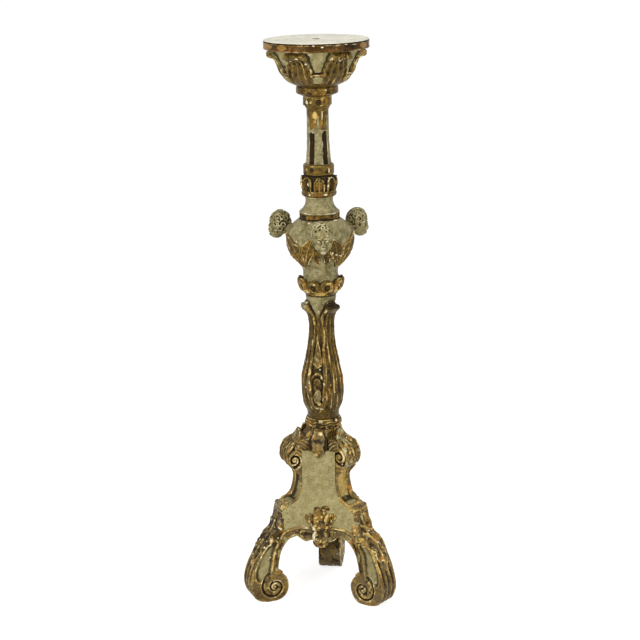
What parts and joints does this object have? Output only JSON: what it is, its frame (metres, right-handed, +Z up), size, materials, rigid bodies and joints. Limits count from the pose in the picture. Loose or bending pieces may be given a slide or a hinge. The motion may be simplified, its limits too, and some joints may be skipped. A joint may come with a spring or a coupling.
{
  "type": "torchere candle stand",
  "caption": "Carved and gilded wooden torchere: a round top on a leafy cup, a fluted and carved column with an urn of winged cherub heads, and a three-legged scroll base.",
  "frame": {"origin": "point on the floor under the middle of the three-legged base", "axes": "+Z up along the column; one panel of the base faces -Y, and its opposite leg reaches towards +Y"},
  "size_m": [0.3702, 0.3289, 1.32],
  "materials": {
    "top_wood": "worn cream paint",
    "painted_wood": "worn grey-green paint",
    "gilt_wood": "worn gilding over red bole and gesso",
    "bare_wood": "bare"
  },
  "bodies": {
    "root": {"top_plate": "top_wood", "plate_dowels": "bare_wood", "cup": "gilt_wood", "neck": "painted_wood", "knop": "gilt_wood", "urn": "painted_wood", "cherub_head_1": "painted_wood", "cherub_head_2": "painted_wood", "cherub_head_3": "painted_wood", "head_dowels": "bare_wood", "wings_1": "gilt_wood", "wings_2": "gilt_wood", "wings_3": "gilt_wood", "leaf_collar": "gilt_wood", "baluster": "gilt_wood", "base_ring": "gilt_wood", "base_core": "gilt_wood", "leg_1": "gilt_wood", "leg_2": "gilt_wood", "leg_3": "gilt_wood", "leg_dowels": "bare_wood", "leg_leaf_1": "gilt_wood", "leg_leaf_2": "gilt_wood", "leg_leaf_3": "gilt_wood", "shoulder_leaf_1": "gilt_wood", "shoulder_leaf_2": "gilt_wood", "shoulder_leaf_3": "gilt_wood", "panel_1": "painted_wood", "panel_2": "painted_wood", "panel_3": "painted_wood", "glue_blocks": "bare_wood", "hanging_leaf_1": "gilt_wood", "hanging_leaf_2": "gilt_wood", "hanging_leaf_3": "gilt_wood", "apron_1": "gilt_wood", "apron_2": "gilt_wood", "apron_3": "gilt_wood", "shell_1": "gilt_wood", "shell_2": "gilt_wood", "shell_3": "gilt_wood"}
  },
  "joints": []
}
